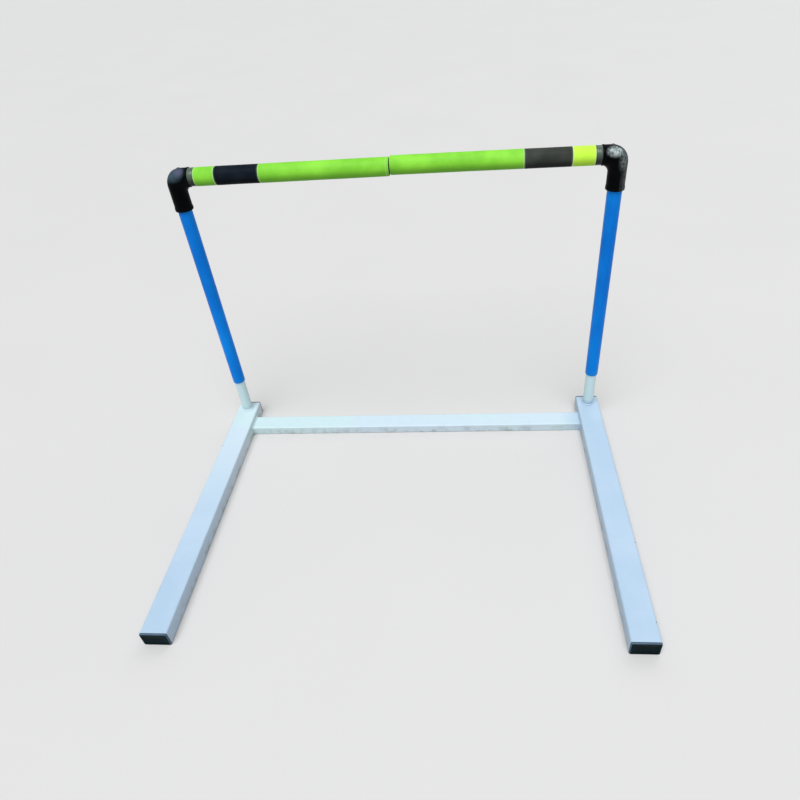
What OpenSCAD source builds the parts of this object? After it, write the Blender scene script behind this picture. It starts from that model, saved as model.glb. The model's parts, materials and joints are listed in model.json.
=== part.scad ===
// Training hurdle with a split bar. Each half bar, its elbow and its blue sleeve
// are one arm that turns about a white post, so a runner or dog pushes it open.
// X runs along the bar, Y away from the jumper, Z up. The origin is on the ground
// at the centre of the stand's outline.

/* [Stand] */
// Distance between the two post axes
post_spacing = 1000; // [800:10:1400]
// Length of a foot, with both end caps
foot_length = 750; // [500:10:1000]
// Width of the foot tube
foot_w = 60; // [50:1:80]
// Height of the foot tube
foot_h = 40; // [30:1:60]
// Wall of the foot tube
foot_wall = 2; // [1.2:0.1:3]
// Outside corner radius of the foot tube
foot_corner = 4; // [3.5:0.1:6]
// Distance from a post axis to the rear end of its foot
post_setback = 28; // [26:1:80]
// Width of the cross beam, along Y
beam_w = 50; // [30:1:80]
// Height of the cross beam
beam_h = 25; // [15:1:28]
// Wall of the cross beam
beam_wall = 1.5; // [1.2:0.1:2]
// Outside corner radius of the cross beam
beam_corner = 3; // [2.5:0.1:4]
// Distance from the post axes forward to the middle of the cross beam
beam_setback = 50; // [45:1:200]

/* [End caps] */
// Thickness of a foot cap's visible flange
cap_flange = 4; // [3:0.5:8]
// Bevel round the outer face of a foot cap
cap_bevel = 1.5; // [0.5:0.1:2.5]
// How far a foot cap reaches into the tube
cap_insert = 18; // [8:1:40]
// Wall of a foot cap's insert
cap_wall = 2.5; // [1.5:0.5:4]

/* [Posts] */
// Outside diameter of a post
post_d = 28; // [25:0.5:40]
// Wall of a post
post_wall = 1.5; // [1.2:0.1:3]
// Leg length of the fillet welds
weld_leg = 5; // [3:0.5:6]
// Thickness of the pivot plug's head, which the arm turns on
pivot_head = 6; // [3:0.5:12]
// How far the pivot plug reaches into the post
pivot_stem = 30; // [15:1:60]

/* [Sleeves] */
// Height of the bar's axis above the ground
bar_height = 740; // [500:5:1000]
// Bare post left showing below the blue sleeve
post_reveal = 105; // [20:1:250]
// Radial gap between a post and its sleeve
swing_gap = 0.5; // [0.3:0.1:1]
// Wall of the blue sleeve
sleeve_wall = 2; // [1.5:0.1:4]

/* [Elbows] */
// Wall of the elbow round the sleeve
upright_wall = 4; // [3:0.5:7]
// Wall of the elbow round the bar tube
elbow_wall = 5; // [4:0.5:7]
// Elbow beyond its upright leg, towards the bar
elbow_lip = 16.5; // [8:0.5:30]
// Outside radius of the bend, where the two legs turn into each other
elbow_corner = 38; // [32:0.5:42]
// Solid between the two sockets
elbow_roof = 15; // [8:0.5:25]
// Depth of the socket that holds the sleeve
sleeve_socket = 45; // [30:1:80]
// Distance from the post axis to the blind end of the bar socket
bar_socket_start = 9; // [6:0.5:10]
// How far the moulded bead stands out round each mouth
bead_rise = 0.8; // [0.4:0.1:2]
// Width of the bead at the sleeve mouth
sleeve_bead = 9; // [5:0.5:14]
// Width of the bead at the bar mouth
bar_bead = 5; // [3.5:0.5:7]

/* [Elbow screws] */
// Distance of the screw from the post axis
screw_inset = 15; // [8:0.5:20]
// Diameter of the screw's shank
screw_d = 4; // [3:0.5:5]
// Diameter of the screw's head
screw_head_d = 8.5; // [7:0.5:10]
// Height of the screw's head
screw_head_h = 3; // [2:0.5:4]
// Depth of the flat seat cut into the elbow
screw_seat = 1.5; // [1:0.1:2.5]
// How far the screw's tip passes into the bar tube
screw_tip = 4; // [2:0.5:8]

/* [Bar] */
// Outside diameter of the bar tube
bar_tube_d = 33; // [30:0.5:46]
// Wall of the bar tube
bar_tube_wall = 2; // [1.5:0.1:4]
// Thickness of the foam bands
foam_t = 4.5; // [2:0.5:8]
// Rounding of the outer edges of the bands and the collar
foam_edge = 1; // [0.4:0.1:1.5]
// Length of the collar between the elbow and the first band
collar_len = 14; // [6:0.5:30]
// Thickness of the collar
collar_t = 4.2; // [2:0.1:8]
// Length of the short green band
outer_band_len = 49; // [20:1:120]
// Length of the black band
black_band_len = 102.5; // [40:1:160]
// Gap between the two half bars at the middle
seam_gap = 1.6; // [1.4:0.2:10]
// Flange of the plug that closes a bar tube
bar_plug_flange = 2.5; // [1.5:0.5:5]
// How far the bar plug reaches into the tube
bar_plug_stem = 20; // [10:1:40]
// Angle that the right arm stands open at rest, in degrees
right_rest_swing = 0.9; // [0:0.1:3]

/* [Hidden] */
$fn = 96;

// Sides of the stand, as signs along X
LEFT = -1;
RIGHT = 1;
// Ends of a foot, as signs along Y
FRONT = -1;
REAR = 1;

// Colours
WHITE = [0.84, 0.88, 0.89];
BLACK = [0.06, 0.07, 0.08];
NYLON = [0.90, 0.90, 0.86];
BLUE = [0.03, 0.40, 0.80];
CHARCOAL = [0.16, 0.17, 0.18];
GREEN = [0.56, 0.86, 0.30];
STEEL = [0.25, 0.25, 0.27];

// A cut reaches this far past the face that it opens
over = 1;

// Stand
post_y = foot_length / 2 - post_setback;
beam_y = post_y - beam_setback;
beam_len = post_spacing - foot_w;
foot_tube_len = foot_length - 2 * cap_flange;
foot_in_w = foot_w - 2 * foot_wall;
foot_in_h = foot_h - 2 * foot_wall;

// Heights along an arm, from the bar down to the sleeve's open end
socket_roof_z = bar_height - bar_tube_d / 2 - elbow_roof;
elbow_mouth_z = socket_roof_z - sleeve_socket;
sleeve_foot_z = foot_h + post_reveal;
post_top_z = socket_roof_z - pivot_head;

// Diameters that fit round each other
post_in_d = post_d - 2 * post_wall;
sleeve_in_d = post_d + 2 * swing_gap;
sleeve_d = sleeve_in_d + 2 * sleeve_wall;
upright_leg_d = sleeve_d + 2 * upright_wall;
bar_leg_d = bar_tube_d + 2 * elbow_wall;
bar_tube_in_d = bar_tube_d - 2 * bar_tube_wall;
foam_d = bar_tube_d + 2 * foam_t;
collar_d = bar_tube_d + 2 * collar_t;

// The elbow's outer bend: as thick as the thicker leg, with this radius to its middle
bend_d = max(upright_leg_d, bar_leg_d);
bend_turn = elbow_corner - bend_d / 2;
// The outer bend starts this far from the axis that it turns about
bend_clear = 0.5;
// The fillet inside the corner is this much thinner than the thinner leg, all round
fillet_inset = 0.6;
fillet_r = min(upright_leg_d, bar_leg_d) / 2 - fillet_inset;

// Distances along a half bar, from the post axis towards the middle
elbow_reach = upright_leg_d / 2 + elbow_lip;
outer_band_x = elbow_reach + collar_len;
black_band_x = outer_band_x + outer_band_len;
long_band_x = black_band_x + black_band_len;
arm_reach = (post_spacing - seam_gap) / 2;
long_band_len = arm_reach - long_band_x;
bar_tube_end = arm_reach - bar_plug_flange;

// Screw
screw_seat_z = bar_height + bar_leg_d / 2 - screw_seat;
screw_tip_z = bar_height + bar_tube_d / 2 - bar_tube_wall - screw_tip;
screw_seat_d = screw_head_d + 1;
screw_slot_w = 1.2;
screw_slot_depth = 1.4;
screw_crown = 1;

// ---- Shared shapes ----

// Rectangle with round corners, centred on the origin
module round_rect(w, h, r) {
    square([w - 2 * r, h], center = true);
    square([w, h - 2 * r], center = true);
    for (sx = [-1, 1], sy = [-1, 1])
        translate([sx * (w / 2 - r), sy * (h / 2 - r)]) circle(r);
}

// Wall section of a rectangular tube
module rect_tube_section(w, h, wall, r) {
    difference() {
        round_rect(w, h, r);
        round_rect(w - 2 * wall, h - 2 * wall, r - wall);
    }
}

// Round tube that stands on z = 0
module round_tube(d, in_d, len) {
    difference() {
        cylinder(d = d, h = len);
        translate([0, 0, -over]) cylinder(d = in_d, h = len + 2 * over);
    }
}

// Ring that stands on z = 0, its two outer edges rounded by edge
module soft_ring(d, in_d, len, edge) {
    rotate_extrude() {
        translate([in_d / 2, 0]) square([(d - in_d) / 2 - edge, len]);
        translate([in_d / 2, edge]) square([(d - in_d) / 2, len - 2 * edge]);
        for (z = [edge, len - edge]) translate([d / 2 - edge, z]) circle(edge);
    }
}

// Lays a shape that stands on z = 0 along the half bar, with its foot at x
module along_bar(x) {
    translate([x, 0, bar_height]) rotate([0, 90, 0]) children();
}

// ---- Stand, drawn for one side ----

module foot_tube(side) {
    translate([side * post_spacing / 2, foot_tube_len / 2, foot_h / 2])
        rotate([90, 0, 0])
            linear_extrude(foot_tube_len)
                rect_tube_section(foot_w, foot_h, foot_wall, foot_corner);
}

// Post, open at both ends, on the top of its foot
module post(side) {
    translate([side * post_spacing / 2, post_y, foot_h])
        round_tube(post_d, post_in_d, post_top_z - foot_h);
}

// Hollow-faced fillet round the foot of a post
module post_weld(side) {
    translate([side * post_spacing / 2, post_y, foot_h])
        rotate_extrude()
            difference() {
                translate([post_d / 2, 0]) square(weld_leg);
                translate([post_d / 2 + weld_leg, weld_leg]) circle(weld_leg * 0.98);
            }
}

// Fillets where the cross beam meets a foot: along the top and up both sides
module beam_weld(side) {
    leg = weld_leg * 0.6;
    flat_w = beam_w - 2 * beam_corner;
    flat_h = beam_h - 2 * beam_corner;
    translate([side * beam_len / 2, beam_y, 0]) mirror([side > 0 ? 1 : 0, 0, 0]) {
        translate([0, flat_w / 2, beam_h])
            rotate([90, 0, 0]) linear_extrude(flat_w) polygon([[0, 0], [leg, 0], [0, leg]]);
        for (face = [-1, 1])
            translate([0, face * beam_w / 2, beam_corner])
                linear_extrude(flat_h) polygon([[0, 0], [leg, 0], [0, face * leg]]);
    }
}

// Foot cap: bevelled flange over the tube's end, hollow insert inside it
module foot_cap(side, end) {
    bevel = min(cap_bevel, cap_flange / 2);
    translate([side * post_spacing / 2, end * foot_tube_len / 2, foot_h / 2])
        rotate([end > 0 ? -90 : 90, 0, 0]) {
            hull() {
                linear_extrude(cap_flange - bevel) round_rect(foot_w, foot_h, foot_corner);
                linear_extrude(cap_flange)
                    round_rect(foot_w - 2 * bevel, foot_h - 2 * bevel, foot_corner - bevel);
            }
            translate([0, 0, -cap_insert])
                linear_extrude(cap_insert)
                    rect_tube_section(foot_in_w, foot_in_h, cap_wall, cap_wall + 0.1);
        }
}

// Pivot plug: a flat head the size of the post, and a stem inside it
module pivot_plug(side) {
    translate([side * post_spacing / 2, post_y, post_top_z]) {
        cylinder(d = post_d, h = pivot_head);
        translate([0, 0, -pivot_stem]) cylinder(d = post_in_d, h = pivot_stem + over);
    }
}

// ---- Arm, drawn once with its post axis on Z and the bar towards +X ----

// Puts an arm piece on its post; the right arm is the same piece turned round
module on_post(side) {
    translate([side * post_spacing / 2, post_y, 0])
        rotate([0, 0, side > 0 ? 180 - right_rest_swing : 0]) children();
}

module arm_sleeve() {
    translate([0, 0, sleeve_foot_z]) round_tube(sleeve_d, sleeve_in_d, socket_roof_z - sleeve_foot_z);
}

// Turns a profile a quarter round from the upright leg into the bar leg; the profile
// stands turn away from the axis it turns about
module quarter_turn(turn) {
    translate([turn, 0, bar_height - turn]) rotate([90, 0, 180]) rotate_extrude(angle = 90) children();
}

// Outside of the elbow
module elbow_bend() {
    quarter_turn(bend_turn)
        difference() {
            translate([bend_turn, 0]) circle(bend_d / 2);
            translate([bend_clear - bend_d, -bend_d]) square([bend_d, 2 * bend_d]);
        }
}

// Round fillet inside the corner of the elbow
module elbow_fillet() {
    quarter_turn(elbow_reach) translate([elbow_reach, 0]) circle(fillet_r);
}

module arm_elbow() {
    difference() {
        union() {
            translate([0, 0, elbow_mouth_z])
                cylinder(d = upright_leg_d, h = bar_height - bend_turn - elbow_mouth_z);
            along_bar(bend_turn) cylinder(d = bar_leg_d, h = elbow_reach - bend_turn);
            elbow_bend();
            elbow_fillet();
            translate([0, 0, elbow_mouth_z])
                soft_ring(upright_leg_d + 2 * bead_rise, sleeve_d, sleeve_bead, bead_rise * 1.5);
            along_bar(elbow_reach - bar_bead)
                soft_ring(bar_leg_d + 2 * bead_rise, bar_tube_d, bar_bead, bead_rise);
        }
        translate([0, 0, elbow_mouth_z - over]) cylinder(d = sleeve_d, h = sleeve_socket + over);
        along_bar(bar_socket_start)
            cylinder(d = bar_tube_d, h = elbow_reach - bar_socket_start + over);
        translate([screw_inset, 0, bar_height]) cylinder(d = screw_d, h = bar_leg_d);
        translate([screw_inset, 0, screw_seat_z]) cylinder(d = screw_seat_d, h = bar_leg_d);
    }
}

// Pan-head screw with a cross slot
module arm_elbow_screw() {
    translate([screw_inset, 0, screw_seat_z]) difference() {
        union() {
            translate([0, 0, screw_tip_z - screw_seat_z])
                cylinder(d = screw_d, h = screw_seat_z - screw_tip_z + over);
            cylinder(d = screw_head_d, h = screw_head_h - screw_crown);
            translate([0, 0, screw_head_h - screw_crown])
                cylinder(d1 = screw_head_d, d2 = screw_head_d - 2 * screw_crown, h = screw_crown);
        }
        for (turn = [0, 90])
            rotate([0, 0, turn])
                translate([-screw_head_d * 0.3, -screw_slot_w / 2, screw_head_h - screw_slot_depth])
                    cube([screw_head_d * 0.6, screw_slot_w, screw_slot_depth + over]);
    }
}

module arm_bar_tube() {
    difference() {
        along_bar(bar_socket_start)
            round_tube(bar_tube_d, bar_tube_in_d, bar_tube_end - bar_socket_start);
        translate([screw_inset, 0, bar_height]) cylinder(d = screw_d, h = bar_leg_d);
    }
}

module arm_collar() {
    along_bar(elbow_reach) soft_ring(collar_d, bar_tube_d, collar_len, foam_edge);
}

module arm_band(x, len) {
    along_bar(x) soft_ring(foam_d, bar_tube_d, len, foam_edge);
}

// Plug flush with the end of the long band, its stem inside the bar tube
module arm_bar_plug() {
    along_bar(bar_tube_end) cylinder(d = bar_tube_d, h = bar_plug_flange);
    along_bar(bar_tube_end - bar_plug_stem) cylinder(d = bar_tube_in_d, h = bar_plug_stem + over);
}

// ---- Nodes ----

module left_foot_tube() { color(WHITE) foot_tube(LEFT); }
module right_foot_tube() { color(WHITE) foot_tube(RIGHT); }

module cross_beam() {
    color(WHITE)
        translate([-beam_len / 2, beam_y, beam_h / 2])
            rotate([90, 0, 90])
                linear_extrude(beam_len) rect_tube_section(beam_w, beam_h, beam_wall, beam_corner);
}

module left_post() { color(WHITE) post(LEFT); }
module right_post() { color(WHITE) post(RIGHT); }
module left_post_weld() { color(WHITE) post_weld(LEFT); }
module right_post_weld() { color(WHITE) post_weld(RIGHT); }
module left_beam_weld() { color(WHITE) beam_weld(LEFT); }
module right_beam_weld() { color(WHITE) beam_weld(RIGHT); }
module left_front_cap() { color(BLACK) foot_cap(LEFT, FRONT); }
module right_front_cap() { color(BLACK) foot_cap(RIGHT, FRONT); }
module left_rear_cap() { color(BLACK) foot_cap(LEFT, REAR); }
module right_rear_cap() { color(BLACK) foot_cap(RIGHT, REAR); }
module left_pivot_plug() { color(NYLON) pivot_plug(LEFT); }
module right_pivot_plug() { color(NYLON) pivot_plug(RIGHT); }

module left_sleeve() { color(BLUE) on_post(LEFT) arm_sleeve(); }
module left_elbow() { color(BLACK) on_post(LEFT) arm_elbow(); }
module left_elbow_screw() { color(STEEL) on_post(LEFT) arm_elbow_screw(); }
module left_bar_tube() { color(CHARCOAL) on_post(LEFT) arm_bar_tube(); }
module left_collar() { color(CHARCOAL) on_post(LEFT) arm_collar(); }
module left_outer_band() { color(GREEN) on_post(LEFT) arm_band(outer_band_x, outer_band_len); }
module left_black_band() { color(CHARCOAL) on_post(LEFT) arm_band(black_band_x, black_band_len); }
module left_long_band() { color(GREEN) on_post(LEFT) arm_band(long_band_x, long_band_len); }
module left_bar_plug() { color(BLACK) on_post(LEFT) arm_bar_plug(); }

module right_sleeve() { color(BLUE) on_post(RIGHT) arm_sleeve(); }
module right_elbow() { color(BLACK) on_post(RIGHT) arm_elbow(); }
module right_elbow_screw() { color(STEEL) on_post(RIGHT) arm_elbow_screw(); }
module right_bar_tube() { color(CHARCOAL) on_post(RIGHT) arm_bar_tube(); }
module right_collar() { color(CHARCOAL) on_post(RIGHT) arm_collar(); }
module right_outer_band() { color(GREEN) on_post(RIGHT) arm_band(outer_band_x, outer_band_len); }
module right_black_band() { color(CHARCOAL) on_post(RIGHT) arm_band(black_band_x, black_band_len); }
module right_long_band() { color(GREEN) on_post(RIGHT) arm_band(long_band_x, long_band_len); }
module right_bar_plug() { color(BLACK) on_post(RIGHT) arm_bar_plug(); }

left_foot_tube();
right_foot_tube();
cross_beam();
left_post();
right_post();
left_post_weld();
right_post_weld();
left_beam_weld();
right_beam_weld();
left_front_cap();
right_front_cap();
left_rear_cap();
right_rear_cap();
left_pivot_plug();
right_pivot_plug();
left_sleeve();
left_elbow();
left_elbow_screw();
left_bar_tube();
left_collar();
left_outer_band();
left_black_band();
left_long_band();
left_bar_plug();
right_sleeve();
right_elbow();
right_elbow_screw();
right_bar_tube();
right_collar();
right_outer_band();
right_black_band();
right_long_band();
right_bar_plug();
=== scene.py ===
# %% [markdown]
# # A swing-open training hurdle
#
# The hurdle is a welded white steel stand with two posts, and two arms that turn on those
# posts like gates. Each arm is a blue sleeve, a moulded black elbow and half of a bar that is
# dressed in green and black foam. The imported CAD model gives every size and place. This
# lesson makes the surfaces that a person would see and touch: rounded tube corners, weld
# beads, moulded plastic, soft foam, and the wear that each of them picks up outdoors.

# %% Load the frame
import json
import math

import bmesh
import bpy
from mathutils import Matrix, Vector, noise


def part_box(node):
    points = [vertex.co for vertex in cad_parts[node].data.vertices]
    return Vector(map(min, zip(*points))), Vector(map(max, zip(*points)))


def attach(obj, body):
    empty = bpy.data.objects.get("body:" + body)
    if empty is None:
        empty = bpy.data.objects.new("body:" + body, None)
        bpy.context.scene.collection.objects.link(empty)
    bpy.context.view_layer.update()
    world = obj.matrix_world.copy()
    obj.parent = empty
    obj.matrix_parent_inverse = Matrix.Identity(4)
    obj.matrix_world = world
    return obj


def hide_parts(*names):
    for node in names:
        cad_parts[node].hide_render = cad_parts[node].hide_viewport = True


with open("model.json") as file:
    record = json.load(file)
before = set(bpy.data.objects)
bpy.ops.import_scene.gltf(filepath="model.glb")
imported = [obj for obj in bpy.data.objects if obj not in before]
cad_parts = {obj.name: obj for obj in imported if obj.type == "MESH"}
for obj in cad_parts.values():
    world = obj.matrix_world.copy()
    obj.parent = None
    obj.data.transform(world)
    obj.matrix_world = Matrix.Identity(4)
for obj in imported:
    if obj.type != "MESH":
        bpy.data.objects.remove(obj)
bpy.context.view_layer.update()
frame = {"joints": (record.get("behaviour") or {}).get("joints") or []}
scene = bpy.context.scene
SIDES = ("left", "right")
pivots = {joint["child"]: Vector(joint["pos_m"]) for joint in frame["joints"]}
BAR_HEIGHT = sum(corner.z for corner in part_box("left_long_band")) / 2
POST_X, POST_Y = pivots["right_arm"].x, pivots["right_arm"].y

# %% [markdown]
# ## Camera
#
# The hurdle is seen from standing height, a little to the right of its middle, looking down
# between the feet. The camera is placed by where it stands and by three turns: to the left,
# down, and a slight roll of the hand. A small lens shift stands for the crop.

# %% Camera
CAMERA_PLACE = (0.1770, -1.0109, 1.1979)
TURN_LEFT, LOOK_DOWN, ROLL = math.radians(6.65), math.radians(37.64), math.radians(-5.29)
FOCAL_MM, SENSOR_MM = 27.49, 36.0
LENS_SHIFT = (-0.0216, -0.0289)

camera = bpy.data.objects.new("camera", bpy.data.cameras.new("camera"))
camera.data.sensor_width = SENSOR_MM
camera.data.lens = FOCAL_MM
camera.data.shift_x, camera.data.shift_y = LENS_SHIFT
camera.matrix_world = (
    Matrix.Translation(CAMERA_PLACE)
    @ Matrix.Rotation(TURN_LEFT, 4, "Z")
    @ Matrix.Rotation(math.pi / 2 - LOOK_DOWN, 4, "X")
    @ Matrix.Rotation(ROLL, 4, "Z")
)
scene.collection.objects.link(camera)
scene.camera = camera

# %% [markdown]
# ## Light
#
# The light is that of a bright, overcast day: one very broad lamp almost overhead, a weaker one
# from behind that draws a rim on the plastic, and a world that fills the shadows. Sun lamps
# are used because their light is equally strong everywhere, so the floor stays even, and a
# wide angle makes their shadows as soft as a cloudy sky's.


# %% Light
def broad_lamp(name, turn, rise, width, strength, colour):
    """A sun lamp that shines from a compass turn and a rise above the floor, in degrees."""
    lamp = bpy.data.objects.new(name, bpy.data.lights.new(name, "SUN"))
    lamp.data.angle = math.radians(width)
    lamp.data.energy = strength
    lamp.data.color = colour
    lean = Matrix.Rotation(math.radians(90 - rise), 4, "X")
    lamp.matrix_world = Matrix.Rotation(math.radians(turn), 4, "Z") @ lean
    scene.collection.objects.link(lamp)


SKY_TINT, SKY_STRENGTH = (0.93, 1.0, 1.05), 0.42
broad_lamp("sky_lamp", turn=-12, rise=67, width=45, strength=3.05, colour=SKY_TINT)
broad_lamp("rim_lamp", turn=150, rise=45, width=35, strength=0.35, colour=(0.95, 0.98, 1.0))

world = bpy.data.worlds.new("studio")
world.use_nodes = True
background = world.node_tree.nodes["Background"]
background.inputs["Color"].default_value = (*SKY_TINT, 1.0)
background.inputs["Strength"].default_value = SKY_STRENGTH
scene.world = world
scene.view_settings.view_transform = "Standard"

# %% [markdown]
# ## Two helpers for nodes
#
# A shader or a Geometry Nodes tree is a small program. `Wire` wraps one output socket and lets
# Python's own plus, minus, times and divide add the Math nodes, so a formula reads as one.
# Every other node is added by `node`, which sets what the node does before its sockets.


# %% Wire and node
def maths(operation, swapped=False):
    """A method that adds one Math node; swapped puts the other term first."""

    def method(self, *others):
        terms = (*others, self) if swapped else (self, *others)
        return node(self.tree, "ShaderNodeMath", {"operation": operation}, dict(enumerate(terms)))

    return method


class Wire:
    """An output socket that can be used in a sum."""

    def __init__(self, tree, socket):
        self.tree = tree
        self.socket = socket

    __add__ = __radd__ = maths("ADD")
    __mul__ = __rmul__ = maths("MULTIPLY")
    __sub__, __rsub__ = maths("SUBTRACT"), maths("SUBTRACT", swapped=True)
    __truediv__, __rtruediv__ = maths("DIVIDE"), maths("DIVIDE", swapped=True)
    __abs__, sine, highest = maths("ABSOLUTE"), maths("SINE"), maths("MAXIMUM")

    def between(self, low, high):
        """0 below low, 1 above high, and a smooth climb from one to the other."""
        sockets = {"Value": self, "From Min": low, "From Max": high}
        return node(self.tree, "ShaderNodeMapRange", {"interpolation_type": "SMOOTHSTEP"}, sockets)


def node(tree, kind, settings=None, sockets=None, output=0):
    """Adds one node. Settings come first, then its sockets get values or links."""
    made = tree.nodes.new(kind)
    for key, value in (settings or {}).items():
        setattr(made, key, value)
    for key, value in (sockets or {}).items():
        if isinstance(value, Wire):
            tree.links.new(value.socket, made.inputs[key])
        else:
            made.inputs[key].default_value = value
    return Wire(tree, made.outputs[output])


# %% [markdown]
# ## A finish
#
# Every material below is one `Finish`. It reads the piece's own coordinates in metres, so a
# pattern can be given its real size: a grain of 0.6 mm is `grain(0.0006)`. Two patterns come
# from the mesh instead: `edge` is 1 on a worn corner and `cut` is 1 on a sawn or cut end.


# %% Finish
class Finish:
    """A material on one Principled shader, with patterns measured in metres."""

    def __init__(self, name):
        self.material = bpy.data.materials.new(name)
        self.material.use_nodes = True
        self.tree = self.material.node_tree
        self.shader = self.tree.nodes["Principled BSDF"]
        self.place = node(self.tree, "ShaderNodeTexCoord", output="Object")
        self.colour = None
        self.height = None

    def axis(self, name):
        return node(self.tree, "ShaderNodeSeparateXYZ", None, {0: self.place}, output=name)

    def grain(self, size, detail=2.0, stretch=(1, 1, 1), shift=0.0, roughness=0.5):
        """Cloudy noise about size metres across; a small stretch draws it out along that axis."""
        place = {"Vector": self.place, "Scale": stretch, "Location": (shift, shift, shift)}
        sockets = {"Vector": node(self.tree, "ShaderNodeMapping", None, place), "Scale": 1 / size}
        sockets.update({"Detail": detail, "Roughness": roughness})
        return node(self.tree, "ShaderNodeTexNoise", {"noise_dimensions": "3D"}, sockets)

    def cells(self, size):
        """Distance to the nearest of a crowd of points about size metres apart."""
        sockets = {"Vector": self.place, "Scale": 1 / size}
        return node(self.tree, "ShaderNodeTexVoronoi", None, sockets, "Distance")

    def painted(self, name):
        """A value stored on the mesh's points."""
        settings = {"attribute_type": "GEOMETRY", "attribute_name": name}
        return node(self.tree, "ShaderNodeAttribute", settings, output="Fac")

    def near(self, centre, reach):
        """1 at a point, falling to 0 on an ellipsoid of three reaches round it."""
        steps = [(self.axis(axis) - c) * (1 / far) for axis, c, far in zip("XYZ", centre, reach)]
        return 1 - sum(step * step for step in steps).between(0, 1)

    def mix(self, amount, first, second):
        """First colour where amount is 0, second where it is 1."""
        colours = [c if isinstance(c, Wire) else (*c, 1.0) for c in (first, second)]
        sockets = {0: amount, 6: colours[0], 7: colours[1]}
        return node(self.tree, "ShaderNodeMix", {"data_type": "RGBA"}, sockets, output=2)

    def tint(self, amount, colour):
        """Lays a colour over what is there, as much as amount says."""
        self.colour = self.mix(amount, self.colour, colour)

    def raise_by(self, pattern, metres):
        """Adds pattern, times metres, to the surface's fine relief."""
        step = pattern * metres
        self.height = step if self.height is None else self.height + step

    def done(self, roughness, **constants):
        """Plugs the patterns into the shader and returns the material."""
        bump = node(self.tree, "ShaderNodeBump", None, {"Height": self.height, "Distance": 1.0})
        wires = {"Base Color": self.colour, "Roughness": roughness, "Normal": bump}
        for name, wire in wires.items():
            self.tree.links.new(wire.socket, self.shader.inputs[name])
        for name, value in constants.items():
            self.shader.inputs[name.replace("_", " ")].default_value = value
        return self.material


# %% [markdown]
# ## White powder coat
#
# Powder is sprayed on dry and baked, so it flows into a faint orange peel and stays cool
# white. Outdoors it clouds over, takes fine scratches along its length, gathers dirt near the
# ground, and chips to grey steel on the corners. The chips follow the `edge` value that the
# tube meshes carry, so they never appear in the middle of a face. The beam and the rear of
# the feet are painted paler, with a hint of mint, the open ends stay bluer, and the posts are
# painted paler still.


# %% White powder coat
def powder_coat():
    coat = Finish("white_stand_coat")
    cloud = coat.grain(0.11, detail=4)
    shadier, fresher = (0.385, 0.490, 0.605), (0.430, 0.530, 0.640)
    coat.colour = coat.mix(cloud.between(0.35, 0.68), shadier, fresher)
    # The rear of the feet and the beam are painted paler and mintier, and everything above the feet paler
    # still.
    rear = coat.axis("Y").between(-0.22, 0.32) * (1 - coat.axis("X").between(0.40, 0.50))
    patch = coat.grain(0.16, detail=2, shift=6.0).between(0.42, 0.62)
    paler_rear = coat.mix(patch, (0.545, 0.625, 0.680), (0.530, 0.650, 0.655))
    coat.tint(rear, paler_rear)
    paler_above_feet = coat.axis("Z").between(0.041, 0.060)
    coat.tint(paler_above_feet, (0.545, 0.690, 0.710))
    streaks = coat.grain(0.0016, stretch=(1, 0.012, 1)).between(0.70, 0.76)
    cross_streaks = coat.grain(0.0013, stretch=(0.02, 1, 1), shift=3.1).between(0.73, 0.78)
    scratch = streaks.highest(cross_streaks) * coat.grain(0.05, shift=7.0).between(0.5, 0.62)
    coat.tint(scratch * 0.4, (0.30, 0.36, 0.40))
    low = 1 - coat.axis("Z").between(0.0, 0.03)
    dirt = low * coat.grain(0.018, detail=5, shift=1.7).between(0.42, 0.7)
    coat.tint(dirt * 0.5, (0.22, 0.23, 0.19))
    worn = coat.painted("edge") * coat.grain(0.006, detail=3, shift=5.0)
    chip = worn.between(0.70, 0.72)
    rim = worn.between(0.66, 0.70)
    coat.tint(rim * 0.4, (0.36, 0.41, 0.43))
    coat.tint(chip, (0.10, 0.095, 0.09))
    coat.raise_by(coat.grain(0.0022), 0.00012)
    coat.raise_by(coat.grain(0.02), 0.0003)
    coat.raise_by(chip, -0.00012)
    coat.raise_by(scratch, -0.00003)
    roughness = 0.36 + cloud * 0.12 + dirt * 0.3 + chip * 0.25 + scratch * 0.15
    return coat.done(roughness, Specular_IOR_Level=0.35)


white_coat = powder_coat()
print("white powder coat:", len(white_coat.node_tree.nodes), "nodes")

# %% [markdown]
# ## Plastics
#
# The sleeves are extruded, so all their marks run along the tube: faint die lines, long
# scratches from sliding on the post. The elbows are moulded with a fine leathery grain that
# keeps them from shining evenly, and their shoulders carry a painted highlight and painted
# reflections. The end caps and plugs are the same black plastic without the grain, scuffed
# where they meet the ground, with a painted reflection of the sky on their bevels.


# %% Blue sleeve, black elbow, black cap
def extruded_blue():
    blue = Finish("blue_sleeve_plastic")
    lines = blue.grain(0.0035, stretch=(1, 1, 0.008))
    cloud = blue.grain(0.07, detail=3, stretch=(1, 1, 0.5))
    blue.colour = blue.mix(cloud.between(0.3, 0.7), (0.0005, 0.150, 0.58), (0.0008, 0.215, 0.72))
    blue.tint(lines.between(0.58, 0.75) * 0.35, (0.0005, 0.105, 0.48))
    scratch = blue.grain(0.0011, stretch=(1, 1, 0.014), shift=2.0).between(0.72, 0.77)
    scratch = scratch * blue.grain(0.06, shift=4.0).between(0.48, 0.6)
    haze = blue.grain(0.03, detail=4, shift=9.0).between(0.55, 0.78)
    blue.tint(scratch * 0.3, (0.02, 0.30, 0.80))
    blue.tint(haze * 0.15, (0.01, 0.28, 0.70))
    blue.tint(blue.painted("edge") * 0.4, (0.01, 0.28, 0.75))
    blue.raise_by(lines, 0.00006)
    blue.raise_by(scratch, -0.00003)
    roughness = 0.27 + haze * 0.22 + scratch * 0.2 + lines * 0.06
    return blue.done(roughness, IOR=1.5, Specular_IOR_Level=0.07)


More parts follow.
